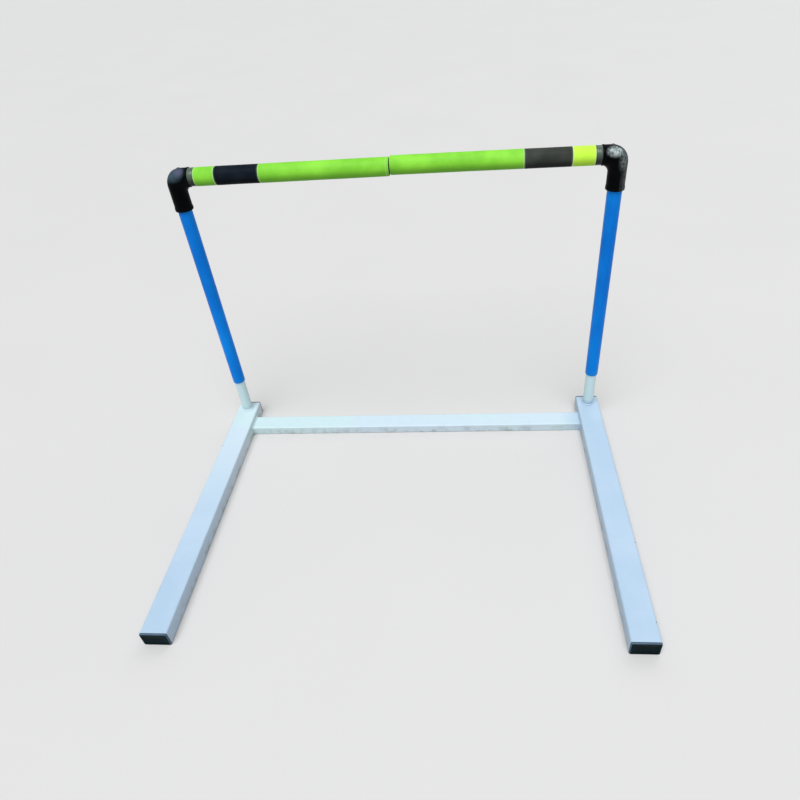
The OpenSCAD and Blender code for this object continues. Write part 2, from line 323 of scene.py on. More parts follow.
def paint_shoulder_sheen(black):
    """Painted highlight and painted reflections on an elbow's shoulder: grey and grainy on the right arm,
    teal and violet on the left.
    """
    right, left = POST_X, -POST_X
    front, top = POST_Y - 0.013, BAR_HEIGHT + 0.0165
    creases = black.grain(0.0042, detail=4, stretch=(1, 1, 0.6), shift=5.0, roughness=0.65)
    leather = creases.between(0.36, 0.62)
    crown = black.near((right - 0.010, front - 0.003, top - 0.004), (0.026, 0.019, 0.017))
    trail = black.near((right + 0.010, front, top - 0.022), (0.019, 0.022, 0.040))
    outer = black.axis("X").between(right + 0.001, right + 0.017)
    flank = outer * black.axis("Z").between(BAR_HEIGHT - 0.10, BAR_HEIGHT - 0.06)
    # Painted highlight: a grey film, brightest on the right shoulder's crown, trailing down the outer side.
    highlight = crown * crown * (0.22 + leather * 0.66)
    highlight = highlight.highest(trail * trail * (0.06 + leather * 0.22))
    highlight = highlight.highest(flank * (0.05 + leather * 0.09))
    black.tint(highlight, (0.56, 0.62, 0.60))
    # Painted reflections on the left elbow: a teal sheen on the outer shoulder and a violet patch.
    teal = black.near((left + 0.001, front + 0.002, top - 0.003), (0.036, 0.026, 0.024))
    violet = black.near((left + 0.018, front, top + 0.001), (0.017, 0.018, 0.017))
    black.tint(teal * (0.65 + leather * 0.35), (0.052, 0.085, 0.105))
    black.tint(violet * violet * 0.65, (0.098, 0.096, 0.155))
    black.raise_by(creases, 0.0005)


def moulded_black(name, deep, pale, edge_wear_and_reflection, grain_size, grain_depth, gloss, shine, painted_sheen):
    """Black moulded plastic between two shades; gloss is its roughness where it is clean."""
    black = Finish(name)
    cloud = black.grain(0.02, detail=4)
    black.colour = black.mix(cloud.between(0.3, 0.75), deep, pale)
    scuff = black.grain(0.0016, detail=3, stretch=(1, 0.25, 1)).between(0.62, 0.74)
    scuff = scuff * black.grain(0.012, shift=3.0).between(0.50, 0.66)
    dust = black.grain(0.009, detail=5, shift=6.0).between(0.55, 0.8)
    black.tint(scuff * 0.2, (0.06, 0.07, 0.07))
    black.tint(dust * 0.02, (0.10, 0.11, 0.10))
    # The edge colour is rubbed wear on the elbows, and a painted reflection of the sky on the bevels of the
    # caps and plugs.
    edge = black.painted("edge")
    black.tint(edge * (0.6 + cloud * 0.4), edge_wear_and_reflection)
    # Lays the painted highlight and painted reflections on the elbows' shoulders.
    if painted_sheen:
        paint_shoulder_sheen(black)
    black.raise_by(black.cells(grain_size), grain_depth)
    black.raise_by(black.grain(grain_size * 4), grain_depth * 0.7)
    black.raise_by(scuff, -0.00003)
    roughness = gloss + cloud * 0.10 + scuff * 0.25 + dust * 0.15
    return black.done(roughness, IOR=1.49, Specular_IOR_Level=shine)


sleeve_blue = extruded_blue()
elbow_black = moulded_black(
    "black_elbow_plastic",
    deep=(0.0004, 0.0008, 0.0010),
    pale=(0.0012, 0.0020, 0.0024),
    edge_wear_and_reflection=(0.0020, 0.0030, 0.0034),
    grain_size=0.0013,
    grain_depth=0.00010,
    gloss=0.26,
    shine=0.03,
    # The elbows carry a painted highlight and painted reflections on their shoulders.
    painted_sheen=True,
)
cap_black = moulded_black(
    "black_cap_plastic",
    deep=(0.0008, 0.0060, 0.0075),
    pale=(0.0022, 0.0110, 0.0125),
    # A painted reflection of the sky on the bevels of the caps and plugs.
    edge_wear_and_reflection=(0.120, 0.175, 0.240),
    grain_size=0.0008,
    grain_depth=0.00004,
    gloss=0.36,
    shine=0.02,
    painted_sheen=False,
)
print("plastics:", sleeve_blue.name, elbow_black.name, cap_black.name)

# %% [markdown]
# ## Foam bands
#
# The bands are closed-cell foam with a smooth skin, stretched over the tube. The skin is
# satin and faintly pebbled, and its colour drifts a little where hands and ropes have rubbed
# it. The undersides are darkened with painted shade: an arm only ever turns level, so its
# underside always stays in the shade. A cut end shows the paler cells inside, which is why
# every band has a thin light rim.


# %% Foam
FOAM_GLOSS = 0.42


def foam(name, deep, bright, painted_shade_beneath, cut_colour, shine):
    """Foam skin between two shades, with painted shade beneath and a paler cut end."""
    skin = Finish(name)
    drift = skin.grain(0.06, detail=3)
    fine = skin.grain(0.004, detail=3, shift=2.0)
    skin.colour = skin.mix(drift.between(0.32, 0.68), deep, bright)
    skin.tint(fine.between(0.45, 0.75) * 0.18, deep)
    # Painted shade: the underside of the band is darkened.
    shaded = 1 - skin.axis("Z").between(BAR_HEIGHT - 0.017, BAR_HEIGHT + 0.006)
    skin.tint(shaded * 0.85, painted_shade_beneath)
    rub = skin.grain(0.0022, detail=3, stretch=(0.12, 1, 1), shift=4.0).between(0.62, 0.74)
    rub = rub * skin.grain(0.045, shift=8.0).between(0.5, 0.64)
    grey = tuple(0.6 * c + 0.05 for c in deep)
    skin.tint(rub * 0.25, grey)
    skin.tint(skin.painted("cut") * 0.8, cut_colour)
    skin.raise_by(skin.cells(0.0011), 0.00005)
    skin.raise_by(fine, 0.00014)
    skin.raise_by(rub, -0.00004)
    roughness = FOAM_GLOSS + drift * 0.10 + rub * 0.2 + skin.painted("cut") * 0.25
    return skin.done(roughness, IOR=1.45, Specular_IOR_Level=shine)


# deep, bright, painted shade beneath, cut end, shine
FOAM_SHADES = {
    "green": ((0.185, 0.53, 0.033), (0.255, 0.665, 0.048), (0.085, 0.27, 0.01), (0.50, 0.66, 0.34), 0.12),
    "lime": ((0.48, 0.79, 0.05), (0.56, 0.89, 0.066), (0.26, 0.48, 0.026), (0.60, 0.72, 0.42), 0.12),
    "black": ((5.5e-3, 8.5e-3, 0.0135), (0.0125, 0.018, 0.025), (2e-4, 6e-4, 6e-4), (0.09, 0.12, 0.08), 0.03),
    "grey": ((0.032, 0.035, 0.03), (0.052, 0.056, 0.048), (2e-3, 2.2e-3, 2e-3), (0.14, 0.16, 0.12), 0.05),
}
foams = {name: foam(f"{name}_foam_skin", *shades) for name, shades in FOAM_SHADES.items()}
print("foam:", ", ".join(foams))

# %% [markdown]
# ## Tube, nylon and screw steel
#
# The bar tube is glossy dark plastic. The pivot plugs are turned from natural nylon, so they
# show fine rings round the axis. The screws are blackened steel, bright where a driver has
# rubbed the slots: metal only there, because the blackening itself is a coating.


# %% Dark tube, nylon, screw steel
def glossy_tube():
    tube = Finish("dark_tube_plastic")
    cloud = tube.grain(0.012, detail=3)
    scratch = tube.grain(0.0012, stretch=(1, 0.1, 0.1)).between(0.68, 0.75)
    tube.colour = tube.mix(cloud, (0.060, 0.090, 0.064), (0.112, 0.135, 0.102))
    # Painted shade: the underside of the tube and collars is darkened almost to black.
    shaded = 1 - tube.axis("Z").between(BAR_HEIGHT - 0.010, BAR_HEIGHT + 0.012)
    tube.tint(shaded * 0.95, (0.0010, 0.0020, 0.0012))
    tube.tint(scratch * 0.4, (0.20, 0.21, 0.20))
    tube.raise_by(scratch, -0.00003)
    tube.raise_by(cloud, 0.00008)
    return tube.done(0.16 + cloud * 0.12 + scratch * 0.25, IOR=1.52, Specular_IOR_Level=0.22)


def turned_nylon():
    nylon = Finish("turned_plug_nylon")
    rings = (nylon.axis("Z") * 9000).sine()
    cloud = nylon.grain(0.008, detail=3)
    nylon.colour = nylon.mix(cloud, (0.62, 0.60, 0.52), (0.74, 0.73, 0.66))
    nylon.raise_by(rings, 0.00001)
    return nylon.done(0.40 + cloud * 0.15, Subsurface_Weight=0.1)


def blackened_steel():
    steel = Finish("blackened_steel")
    worn = (steel.painted("edge") * steel.grain(0.0007, detail=3)).between(0.42, 0.6)
    steel.colour = steel.mix(worn, (0.022, 0.022, 0.025), (0.42, 0.41, 0.39))
    steel.raise_by(steel.grain(0.0004), 0.00002)
    steel.tree.links.new(worn.socket, steel.shader.inputs["Metallic"])
    return steel.done(0.42 - worn * 0.12)


tube_dark = glossy_tube()
nylon = turned_nylon()
screw_steel = blackened_steel()


def studio_floor():
    floor = Finish("studio_floor")
    cloud = floor.grain(0.6, detail=3)
    floor.colour = floor.mix(cloud, (0.595, 0.553, 0.527), (0.620, 0.576, 0.549))
    floor.raise_by(floor.grain(0.003), 0.0001)
    return floor.done(0.62 + cloud * 0.1)


FLOOR_SIDE = 120.0
floor_mesh = bpy.data.meshes.new("studio_floor")
half = FLOOR_SIDE / 2
corners = [(-half, -half, 0), (half, -half, 0), (half, half, 0), (-half, half, 0)]
floor_mesh.from_pydata(corners, [], [(0, 1, 2, 3)])
floor_mesh.materials.append(studio_floor())
studio_ground = bpy.data.objects.new("studio_floor", floor_mesh)
scene.collection.objects.link(studio_ground)

# %% [markdown]
# ## Skinning rings
#
# Almost every piece here is a stack of rings: a tube is the same ring many times, a cap is a
# ring that shrinks, an elbow is a ring that turns a corner. `skin` joins the rings with
# quads. A hollow piece goes out along its outside, turns in over the end, and comes back
# along its inside, so it is one closed wall. A ring may also be a single point, which closes
# a pole. Each ring carries `edge` and `cut` values for the materials.


# %% Skin
SMOOTH_BELOW = 38


def ring(points, edge=0.0, cut=0.0):
    """One ring for skin: its points, and how worn and how freshly cut each of them is."""
    count = len(points)
    edges = edge if isinstance(edge, list) else [edge] * count
    return {"points": points, "edge": edges, "cut": [cut] * count}


def pole(x, z):
    """A ring that is a single point."""
    return ring([Vector((x, 0, z))])


def skin(name, rings, material, closed, place=None):
    """Joins rings into one object. closed joins the last ring to the first as well."""
    points, edge, cut, starts = [], [], [], []
    for one in rings:
        starts.append(len(points))
        points += [place @ Vector(p) if place else Vector(p) for p in one["points"]]
        edge += one["edge"]
        cut += one["cut"]
    faces = []
    for here in range(len(rings) if closed else len(rings) - 1):
        there = (here + 1) % len(rings)
        a, b = starts[here], starts[there]
        n, m = len(rings[here]["points"]), len(rings[there]["points"])
        for i in range(max(n, m)):
            j = (i + 1) % max(n, m)
            if n == 1:
                faces.append((a, b + j, b + i))
            elif m == 1:
                faces.append((a + i, a + j, b))
            else:
                faces.append((a + i, a + j, b + j, b + i))
    mesh = bpy.data.meshes.new(name)
    mesh.from_pydata(points, [], faces)
    for key, values in (("edge", edge), ("cut", cut)):
        mesh.attributes.new(key, "FLOAT", "POINT").data.foreach_set("value", values)
    return finish_mesh(name, mesh, material)


def finish_mesh(name, mesh, material, smooth_below=SMOOTH_BELOW):
    """Turns the faces outwards, smooths all but sharp corners, and makes the object."""
    work = bmesh.new()
    work.from_mesh(mesh)
    bmesh.ops.recalc_face_normals(work, faces=work.faces)
    work.to_mesh(mesh)
    work.free()
    mesh.polygons.foreach_set("use_smooth", [True] * len(mesh.polygons))
    mesh.set_sharp_from_angle(angle=math.radians(smooth_below))
    mesh.name = name
    mesh.materials.clear()
    mesh.materials.append(material)
    piece = bpy.data.objects.new(name, mesh)
    scene.collection.objects.link(piece)
    return piece


def middle_of(low, high):
    """The middle of a box."""
    return (low + high) / 2


def put_on(piece, body, cad_node):
    """Hangs a piece on the body it rides on, and hides the CAD node it stands for."""
    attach(piece, body)
    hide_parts(cad_node)
    print(piece.name, "on", body, "-", len(piece.data.polygons), "faces")


# %% [markdown]
# ## Rectangular tubes
#
# Cold-rolled tube has round corners, never sharp ones, and those corners are where light
# runs along it. The section is drawn once as outside and inside outlines, with extra points
# beside each corner so that wear can fade out over a few millimetres. Knocks are pushed in
# afterwards: the cross beam has one on its front edge, where it has been stepped on.


# %% Rectangular tube
CORNER_STEPS = 6
FLAT_STEPS = (0.04, 0.12, 0.3, 0.5, 0.7, 0.88, 0.96)
WORN_BESIDE_CORNER, WORN_FLAT = 0.12, 0.8
END_EASE = 0.0004
TUBE_STEPS = 60


def round_outline(width, height, radius):
    """(x, z, worn) round a rectangle with round corners, starting at the right side."""
    outline = []
    half_w, half_h = width / 2 - radius, height / 2 - radius
    centres = ((half_w, half_h), (-half_w, half_h), (-half_w, -half_h), (half_w, -half_h))
    for quarter, (cx, cz) in enumerate(centres):
        for step in range(CORNER_STEPS + 1):
            angle = math.pi / 2 * (quarter + step / CORNER_STEPS)
            outline.append((cx + radius * math.cos(angle), cz + radius * math.sin(angle), 1.0))
        x, z, _ = outline[-1]
        next_x, next_z = centres[(quarter + 1) % 4]
        angle = math.pi / 2 * (quarter + 1)
        run_x, run_z = next_x + radius * math.cos(angle) - x, next_z + radius * math.sin(angle) - z
        for share in FLAT_STEPS:
            worn = max(0.0, 1 - min(share, 1 - share) / WORN_BESIDE_CORNER)
            outline.append((x + share * run_x, z + share * run_z, worn * WORN_FLAT))
    return outline


def knock(point, centre, reach, depth, direction):
    """Moves a point by a dent of that reach and depth."""
    away = (point - centre).length / reach
    if away >= 1:
        return point
    return point + direction * depth * (1 - away * away) ** 2


def box_tube(name, start, stop, width, height, wall, corner, knocks=()):
    """A rectangular tube from start to stop, its height along Z."""
    along = (stop - start).normalized()
    side = along.cross(Vector((0, 0, 1))).normalized()
    length = (stop - start).length
    outside = round_outline(width, height, corner)
    inside = round_outline(width - 2 * wall, height - 2 * wall, corner - wall)
    stations = [END_EASE, 0.003, 0.010]
    stations += [0.02 + (length - 0.04) * i / TUBE_STEPS for i in range(TUBE_STEPS + 1)]
    stations += [length - 0.010, length - 0.003, length - END_EASE]

    def placed(outline, at, shrink=0.0):
        points = []
        for x, z, _ in outline:
            x -= math.copysign(min(shrink, abs(x)), x)
            z -= math.copysign(min(shrink, abs(z)), z)
            point = start + along * at + side * x + Vector((0, 0, z))
            for centre, reach, depth, direction in knocks:
                point = knock(point, centre, reach, depth, direction)
            points.append(point)
        return points

    worn = [w for _, _, w in outside]
    rings = [ring(placed(outside, 0, END_EASE), worn)]
    rings += [ring(placed(outside, at), worn) for at in stations]
    rings += [ring(placed(outside, length, END_EASE), worn)]
    rings += [ring(placed(inside, at)) for at in (length, 0)]
    return skin(name, rings, white_coat, closed=True)


# %% Feet and cross beam
FOOT_WALL, FOOT_CORNER = 0.002, 0.004
BEAM_WALL, BEAM_CORNER = 0.0015, 0.003

for side, sign in zip(SIDES, (-1, 1)):
    low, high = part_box(f"{side}_foot_tube")
    middle = middle_of(low, high)
    inner, outer = (low.x, high.x) if side == "right" else (high.x, low.x)
    # where, reach, depth and direction of each ding
    dings = (
        (Vector((inner, -0.12, high.z)), 0.012, 0.0007, Vector((sign, 0, -1)).normalized()),
        (Vector((outer, 0.08, high.z)), 0.009, 0.0006, Vector((-sign, 0, -1)).normalized()),
    )
    ends = [Vector((middle.x, y, middle.z)) for y in (low.y, high.y)]
    wide, tall = high.x - low.x, high.z - low.z
    foot = box_tube(f"{side}_foot", *ends, wide, tall, FOOT_WALL, FOOT_CORNER, dings)
    put_on(foot, "base", f"{side}_foot_tube")

low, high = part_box("cross_beam")
middle = middle_of(low, high)
dings = [(Vector((-0.215, low.y, high.z)), 0.014, 0.0016, Vector((0, 1, -1)).normalized())]
ends = [Vector((x, middle.y, middle.z)) for x in (low.x, high.x)]
wide, tall = high.y - low.y, high.z - low.z
beam = box_tube("cross_beam_tube", *ends, wide, tall, BEAM_WALL, BEAM_CORNER, dings)
put_on(beam, "base", "cross_beam")

# %% [markdown]
# ## Turned and extruded round pieces
#
# A round piece is a profile spun about its axis. The profile is a closed walk round the
# wall, given as radius, height and the two wear values. Posts, sleeves, plugs and tubes all
# come from this one function; only the profile changes.

# %% Turned pieces
ROUND_STEPS = 96


def circle(radius, height, steps=ROUND_STEPS):
    """Points of a level circle about Z. A zero radius is one point; a function gives one per turn."""
    if radius == 0:
        return [Vector((0, 0, height))]
    turns = [2 * math.pi * i / steps for i in range(steps)]
    reach = [radius(turn) if callable(radius) else radius for turn in turns]
    return [Vector((r * math.cos(t), r * math.sin(t), height)) for r, t in zip(reach, turns)]


def turned(name, profile, material, closed, place=None):
    """Spins a profile of (radius, height, edge, cut) about Z; edge and cut may be left out."""
    rings = [ring(circle(radius, height), *wear) for radius, height, *wear in profile]
    return skin(name, rings, material, closed, place)


def tube_profile(outer, inner, low, high, rounding, spacing=0.02):
    """The wall of a tube: up the outside, over a rounded end, down the inside, and round again."""
    steps = max(2, round((high - low) / spacing))
    heights = [low + rounding + (high - low - 2 * rounding) * i / steps for i in range(steps + 1)]
    walk = [(outer - rounding, low, 1, 1), (outer - rounding * 0.3, low + rounding * 0.3, 1, 0.6)]
    walk += [(outer, z, 1.0 if i in (0, steps) else 0.0, 0) for i, z in enumerate(heights)]
    walk += [(outer - rounding * 0.3, high - rounding * 0.3, 1, 0.6), (outer - rounding, high, 1, 1)]
    walk += [(inner + rounding * 0.5, high, 0.5, 1), (inner, high - rounding * 0.5, 0, 0.3)]
    walk += [(inner, low + rounding * 0.5, 0, 0.3), (inner + rounding * 0.5, low, 0.5, 1)]
    return walk


# %% Posts and pivot plugs
POST_WALL = 0.0015
POST_EASE = 0.0005
RUNNING_GAP = 0.0001

for side in SIDES:
    low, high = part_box(f"{side}_post")
    stand = Matrix.Translation((*middle_of(low, high).xy, 0))
    radius = (high.x - low.x) / 2
    profile = tube_profile(radius, radius - POST_WALL, low.z, high.z, POST_EASE)
    post = turned(f"{side}_post_tube", profile, white_coat, True, stand)
    put_on(post, "base", f"{side}_post")

    plug_low, plug_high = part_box(f"{side}_pivot_plug")
    bore = radius - POST_WALL
    top, under_head = plug_high.z - RUNNING_GAP, high.z
    profile = [(0, plug_low.z), (bore - 0.002, plug_low.z), (bore, plug_low.z + 0.003), (bore, under_head)]
    profile += [(radius - 0.0006, under_head, 1), (radius, under_head + 0.0006, 1)]
    profile += [(radius, top - 0.0010, 1), (radius - 0.0010, top, 1)]
    profile += [(0.0045, top), (0.0035, top - 0.0012), (0, top - 0.0016)]
    plug = turned(f"{side}_post_bearing", profile, nylon, False, stand)
    put_on(plug, "base", f"{side}_pivot_plug")

# %% [markdown]
# ## Weld beads
#
# A weld is metal laid down in overlapping drops, so it is a cord with a soft ripple. That is
# a shape that follows a path, which is what Geometry Nodes are for. The tree turns a line
# into a curve, resamples it, lets its radius rise and fall once per drop with a little
# unevenness, and sweeps a circle along it. The same tree makes the rings round the posts and
# the runs where the beam meets the feet. Powder has flowed over them, so the ripple is low.


# %% Weld bead tree
SMOOTH_OVER_RIPPLES = 60


def new_tree(name, sizes):
    """An empty Geometry Nodes tree with named sizes as inputs, and a Wire from each of them."""
    tree = bpy.data.node_groups.new(name, "GeometryNodeTree")
    for way in ("INPUT", "OUTPUT"):
        tree.interface.new_socket("Geometry", in_out=way, socket_type="NodeSocketGeometry")
    for key, value in sizes.items():
        socket = tree.interface.new_socket(key, in_out="INPUT", socket_type="NodeSocketFloat")
        socket.default_value = value
    given = tree.nodes.new("NodeGroupInput")
    return tree, {socket.name: Wire(tree, socket) for socket in given.outputs if socket.name}


def end_tree(tree, shape, material):
    """Realizes the shape, gives it its material and sends it out of the tree."""
    whole = node(tree, "GeometryNodeRealizeInstances", None, {"Geometry": shape})
    dressed = node(tree, "GeometryNodeSetMaterial", None, {"Geometry": whole, "Material": material})
    tree.links.new(dressed.socket, tree.nodes.new("NodeGroupOutput").inputs[0])
    return tree


def round_section(tree, corners, radius):
    """A circle for a tree to sweep along a curve."""
    sockets = {"Resolution": corners, "Radius": radius}
    return node(tree, "GeometryNodeCurvePrimitiveCircle", None, sockets, "Curve")


def bead_tree(material):
    """Geometry Nodes: a rippled cord along the carrier mesh's line."""
    sizes = {"Bead Radius": 0.003, "Drop Length": 0.0028, "Ripple": 0.07, "Unevenness": 0.10}
    tree, wire = new_tree("weld_bead", {**sizes, "Seed": 4.0})
    line = node(tree, "GeometryNodeMeshToCurve", None, {"Mesh": wire["Geometry"]})
    step = {"Curve": line, "Length": wire["Drop Length"] * 0.2}
    fine = node(tree, "GeometryNodeResampleCurve", {"mode": "LENGTH"}, step)
    walked = node(tree, "GeometryNodeSplineParameter", output="Length")
    ripple = abs((walked * math.pi / wire["Drop Length"]).sine()) * wire["Ripple"]
    noise_place = {"W": walked * 160.0 + wire["Seed"], "Scale": 1.0, "Detail": 2.0}
    uneven = node(tree, "ShaderNodeTexNoise", {"noise_dimensions": "1D"}, noise_place)
    radius = wire["Bead Radius"] * (0.95 + ripple + (uneven - 0.5) * wire["Unevenness"])
    cord = {"Curve": fine, "Profile Curve": round_section(tree, 14, 1.0), "Scale": radius}
    cord["Fill Caps"] = True
    return end_tree(tree, node(tree, "GeometryNodeCurveToMesh", None, cord), material)


def run_tree(name, tree, carrier_mesh, inputs, material):
    """Runs a tree on a carrier mesh and returns the result as a plain object."""
    carrier = bpy.data.objects.new(name + "_carrier", carrier_mesh)
    scene.collection.objects.link(carrier)
    modifier = carrier.modifiers.new("nodes", "NODES")
    modifier.node_group = tree
    sockets = {item.name: item.identifier for item in tree.interface.items_tree if item.in_out == "INPUT"}
    for key, value in inputs.items():
        modifier[sockets[key]] = value
    return finish_mesh(name, evaluated_mesh(carrier), material, SMOOTH_OVER_RIPPLES)


def evaluated_mesh(piece, *helpers):
    """What a piece's modifiers make, as a plain mesh; the piece and its helpers are removed."""
    mesh = bpy.data.meshes.new_from_object(piece.evaluated_get(bpy.context.evaluated_depsgraph_get()))
    for thing in (piece, *helpers):
        bpy.data.objects.remove(thing)
    return mesh


def path_mesh(paths, closed):
    """A mesh of edges only, one chain for each list of points, for a tree to follow."""
    points, links = [], []
    for path in paths:
        first, count = len(points), len(path)
        links += [(first + i, first + (i + 1) % count) for i in range(count if closed else count - 1)]
        points += path
    mesh = bpy.data.meshes.new("path")
    mesh.from_pydata(points, links, [])
    return mesh


# %% Post and beam welds
weld_tree = bead_tree(white_coat)
POST_BEAD, BEAM_BEAD = 0.0028, 0.0020
SUNK = 0.25
CORNER_BEND, BEND_POINTS = 0.004, 8
ABOVE_GROUND = 0.003


def beam_path(x, front, back, low_z, top):
    """Up the front of the beam, over its rounded top corners and down the back."""
    points = [Vector((x, front, low_z)), Vector((x, front, top - CORNER_BEND))]
    for corner_y, first in ((front + CORNER_BEND, math.pi), (back - CORNER_BEND, math.pi / 2)):
        if corner_y > front + CORNER_BEND:
            points.append(Vector((x, corner_y, top)))
        for step in range(1, BEND_POINTS + 1):
            angle = first - math.pi / 2 * step / BEND_POINTS
            out, up = CORNER_BEND * math.cos(angle), CORNER_BEND * math.sin(angle)
            points.append(Vector((x, corner_y + out, top - CORNER_BEND + up)))
    return points + [Vector((x, back, low_z))]


for number, side in enumerate(SIDES):
    low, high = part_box(f"{side}_post")
    centre = Vector((*middle_of(low, high).xy, low.z + POST_BEAD * SUNK))
    radius = (high.x - low.x) / 2 + POST_BEAD * SUNK
    post_path = [centre + point for point in circle(radius, 0, 120)]
    low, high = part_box("cross_beam")
    offset = BEAM_BEAD * SUNK
    x = low.x + offset if side == "left" else high.x - offset
    run = beam_path(x, low.y - offset, high.y + offset, ABOVE_GROUND + BEAM_BEAD, high.z + offset)
    welds = (("post", post_path, True, POST_BEAD, 4.0), ("beam", run, False, BEAM_BEAD, 9.0))
    for label, path, closed, size, seed in welds:
        inputs = {"Bead Radius": size, "Seed": seed + number}
        bead = run_tree(f"{side}_{label}_bead", weld_tree, path_mesh([path], closed), inputs, white_coat)
        put_on(bead, "base", f"{side}_{label}_weld")

# %% [markdown]
# ## End caps
#
# The cap is a moulded plug: a bevelled flange that hides the cut end of the tube, a slightly
# dished face, and a hollow box that grips inside. Its ribs are thin fins that crush as the
# plug is hammered in. The flange is a stack of shrinking outlines, and a small Geometry Nodes
# tree lays the fins round the box.


# %% End cap
BOX_WALL, BOX_CORNER, HOLLOW_CORNER = 0.0025, 0.0025, 0.0012
FIN_HEIGHT, DISH_DEPTH = 0.0005, 0.0007


def cap_ring(width, height, radius, depth, worn=0.0):
    return ring([Vector((x, z, depth)) for x, z, _ in round_outline(width, height, radius)], worn)


def end_cap(name, width, height, flange, reach, gap, place):
    """A cap with its flange's back at z = 0, its face at z = flange and its box below."""
    box_w, box_h = width - 2 * gap, height - 2 * gap
    hollow_w, hollow_h = box_w - 2 * BOX_WALL, box_h - 2 * BOX_WALL
    rings = [pole(0, -0.0005)]
    rings += [cap_ring(hollow_w, hollow_h, HOLLOW_CORNER, -0.0005)]
    rings += [cap_ring(hollow_w, hollow_h, HOLLOW_CORNER, -reach, 0.3)]
    rings += [cap_ring(box_w - 0.0012, box_h - 0.0012, BOX_CORNER, -reach, 0.3)]
    rings += [cap_ring(box_w, box_h, BOX_CORNER, depth) for depth in (-reach + 0.001, 0.0)]
    # narrower by, corner tighter by, depth, wear
    for less, tighter, depth, worn in (
        (0.0, 0.0, 0.0, 0.2),
        (0.0, 0.0, flange - 0.0018, 0.9),
        (0.0007, 0.0, flange - 0.0008, 1.0),
        (0.0030, 0.0008, flange, 0.35),
        (0.0044, 0.0010, flange, 0.0),
        (0.0100, 0.0015, flange - 0.0001, 0.0),
        (0.0120, 0.0015, flange - 0.0005, 0.0),
    ):
        rings.append(cap_ring(width - less, height - less, FOOT_CORNER - tighter, depth, worn))
    dish = flange - DISH_DEPTH
    rings += [cap_ring(width * 0.45, height * 0.30, 0.002, dish), pole(0, dish)]
    return skin(name, rings, cap_black, False, place)


def fin_tree(material):
    """Geometry Nodes: a thin pointed ridge along every loop of the carrier mesh."""
    tree, wire = new_tree("cap_fins", {"Fin Height": FIN_HEIGHT})
    loops = node(tree, "GeometryNodeMeshToCurve", None, {"Mesh": wire["Geometry"]})
    ridge = {"Curve": loops, "Profile Curve": round_section(tree, 4, wire["Fin Height"])}
    return end_tree(tree, node(tree, "GeometryNodeCurveToMesh", None, ridge), material)


def take_in(piece, extra):
    """Adds a second object's mesh to a piece."""
    work = bmesh.new()
    for part in (piece, extra):
        work.from_mesh(part.data)
    work.to_mesh(piece.data)
    work.free()
    bpy.data.objects.remove(extra)


CAP_GAP = FOOT_WALL + 0.0006
FIN_DEPTHS = (-0.004, -0.008, -0.012, -0.016)
fins_of_a_cap = fin_tree(cap_black)
for side in SIDES:
    for end, sign in (("front", -1), ("rear", 1)):
        low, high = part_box(f"{side}_{end}_cap")
        tube_low, tube_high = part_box(f"{side}_foot_tube")
        back_y = tube_low.y if sign < 0 else tube_high.y
        flange = tube_low.y - low.y if sign < 0 else high.y - tube_high.y
        reach = (high.y - low.y) - flange
        place = Matrix.Translation(((low.x + high.x) / 2, back_y, (low.z + high.z) / 2))
        place = place @ Matrix.Rotation(math.pi / 2 * -sign, 4, "X")
        wide, tall = high.x - low.x, high.z - low.z
        cap = end_cap(f"{side}_{end}_end_cap", wide, tall, flange, reach, CAP_GAP, place)
        box = round_outline(wide - 2 * CAP_GAP, tall - 2 * CAP_GAP, BOX_CORNER)
        loops = [[Vector((x, z, depth)) for x, z, _ in box] for depth in FIN_DEPTHS]
        fins = run_tree("fins", fins_of_a_cap, path_mesh(loops, True), {}, cap_black)
        fins.data.transform(place)
        take_in(cap, fins)
        put_on(cap, "base", f"{side}_{end}_cap")

# %% [markdown]
# ## An arm's own coordinates
#
# Both arms are the same set of pieces, and the right one is turned round. So each piece is
# drawn once with the post's axis on Z and the bar running along +X, and a matrix carries it
# to its post. The bar's direction is read from the far plug, because the right arm does not
# hang quite square.

# %% Arm placement
arm_place = {}
for side in SIDES:
    pivot = pivots[f"{side}_arm"]
    far = middle_of(*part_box(f"{side}_bar_plug"))
    heading = math.atan2(far.y - pivot.y, far.x - pivot.x)
    arm_place[side] = Matrix.Translation((pivot.x, pivot.y, 0)) @ Matrix.Rotation(heading, 4, "Z")
    print(side, "arm heads", round(math.degrees(heading), 2), "degrees")


def left_span(node_name):
    """A left arm node's box with the post's axis as its zero."""
    low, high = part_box(node_name)
    origin = Vector((pivots["left_arm"].x, pivots["left_arm"].y, 0))
    return low - origin, high - origin


def on_bar(height):
    """Carries a shape drawn about Z so that it lies along the bar, from the post's axis out."""
    return Matrix.Translation((0, 0, height)) @ Matrix.Rotation(math.pi / 2, 4, "Y")


tube_low, tube_high = left_span("left_bar_tube")
tube_radius = (tube_high.z - tube_low.z) / 2

# %% [markdown]
# ## Blue sleeves
#
# A sleeve is a plain extruded tube, so its ends decide how real it looks. They are sawn and
# then eased with a scraper, which leaves a small round edge and a thin wall that can be seen
# at the bottom, standing off the post by half a millimetre.

# %% Sleeves
SWING_GAP, SLEEVE_EASE = 0.0005, 0.0008
post_low, post_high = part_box("left_post")
sleeve_bore = (post_high.x - post_low.x) / 2 + SWING_GAP
low, high = left_span("left_sleeve")
for side in SIDES:
    profile = tube_profile((high.x - low.x) / 2, sleeve_bore, low.z, high.z, SLEEVE_EASE)
    sleeve = turned(f"{side}_blue_sleeve", profile, sleeve_blue, True, arm_place[side])
    put_on(sleeve, f"{side}_arm", f"{side}_sleeve")

# %% [markdown]
# ## Elbows
#
# The elbow is a moulding: two sockets that meet in a tight, rounded corner, a bead round
# each mouth, and a thin line where the two halves of the mould met. A swept circle would
# pinch on such a tight bend. Instead each ring reaches from the inner fillet out to a rounded
# outer corner, so it grows into an ellipse in the bend and shrinks back to a circle. The
# rings then fold in at each mouth and line the sockets, which makes the elbow one closed wall.

